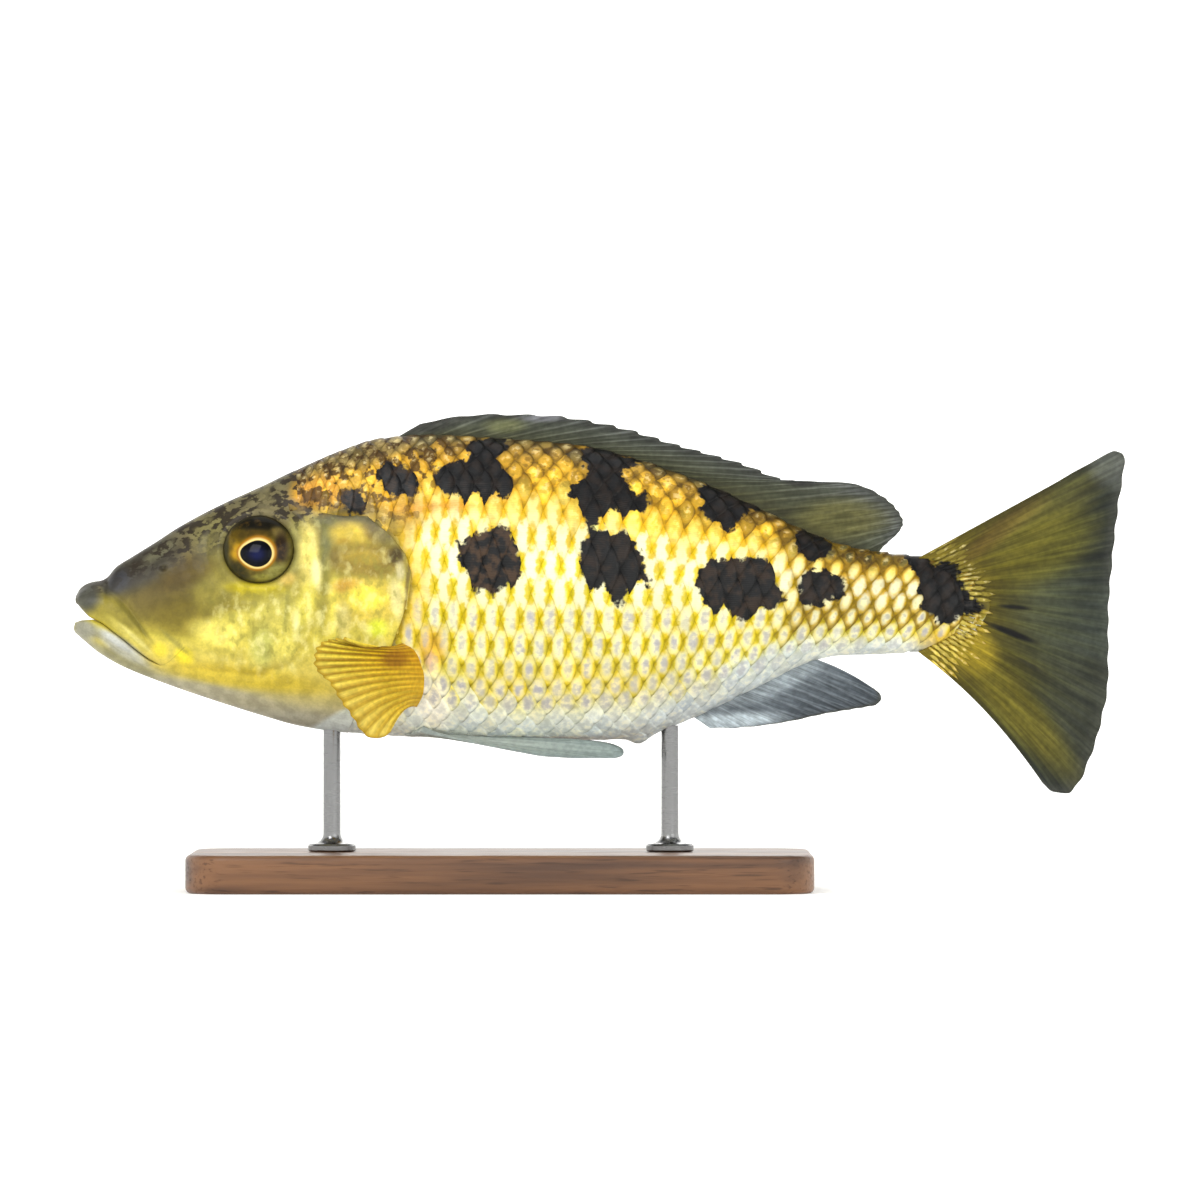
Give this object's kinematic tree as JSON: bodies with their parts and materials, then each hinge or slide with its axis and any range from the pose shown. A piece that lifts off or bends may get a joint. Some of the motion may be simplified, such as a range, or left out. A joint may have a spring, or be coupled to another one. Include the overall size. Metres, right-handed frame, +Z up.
{
  "type": "rostratus cichlid fish model",
  "caption": "Life-size still model of a long-snouted spotted cichlid fish with spread fins, swimming level on a plain two-rod display stand.",
  "frame": {"origin": "on the floor, under the middle of the fish's total length, at the middle of its width", "axes": "-X towards the snout, -Y towards the fish's left side, +Z up"},
  "size_m": [0.2192, 0.0774, 0.0995],
  "materials": {
    "head_skin": "moist, smooth fish skin",
    "body_skin": "moist, scaled fish skin",
    "eye": "clear and glossy",
    "median_fin": "thin, ribbed membrane",
    "tail_fin": "thin, ribbed membrane",
    "pectoral_fin": "thin, ribbed membrane",
    "pelvic_fin": "thin, ribbed membrane",
    "stand_wood": "dark satin",
    "stand_metal": "satin"
  },
  "bodies": {
    "root": {"head": "head_skin", "lower_jaw": "head_skin", "gill_cover_left": "head_skin", "gill_cover_right": "head_skin", "trunk": "body_skin", "tail_stalk": "body_skin", "eye_left": "eye", "eye_right": "eye", "fin_dorsal": "median_fin", "fin_anal": "median_fin", "fin_caudal": "tail_fin", "fin_pectoral_left": "pectoral_fin", "fin_pectoral_right": "pectoral_fin", "fin_pelvic_left": "pelvic_fin", "fin_pelvic_right": "pelvic_fin", "stand_base": "stand_wood", "stand_rod_front": "stand_metal", "stand_rod_rear": "stand_metal"}
  },
  "joints": []
}
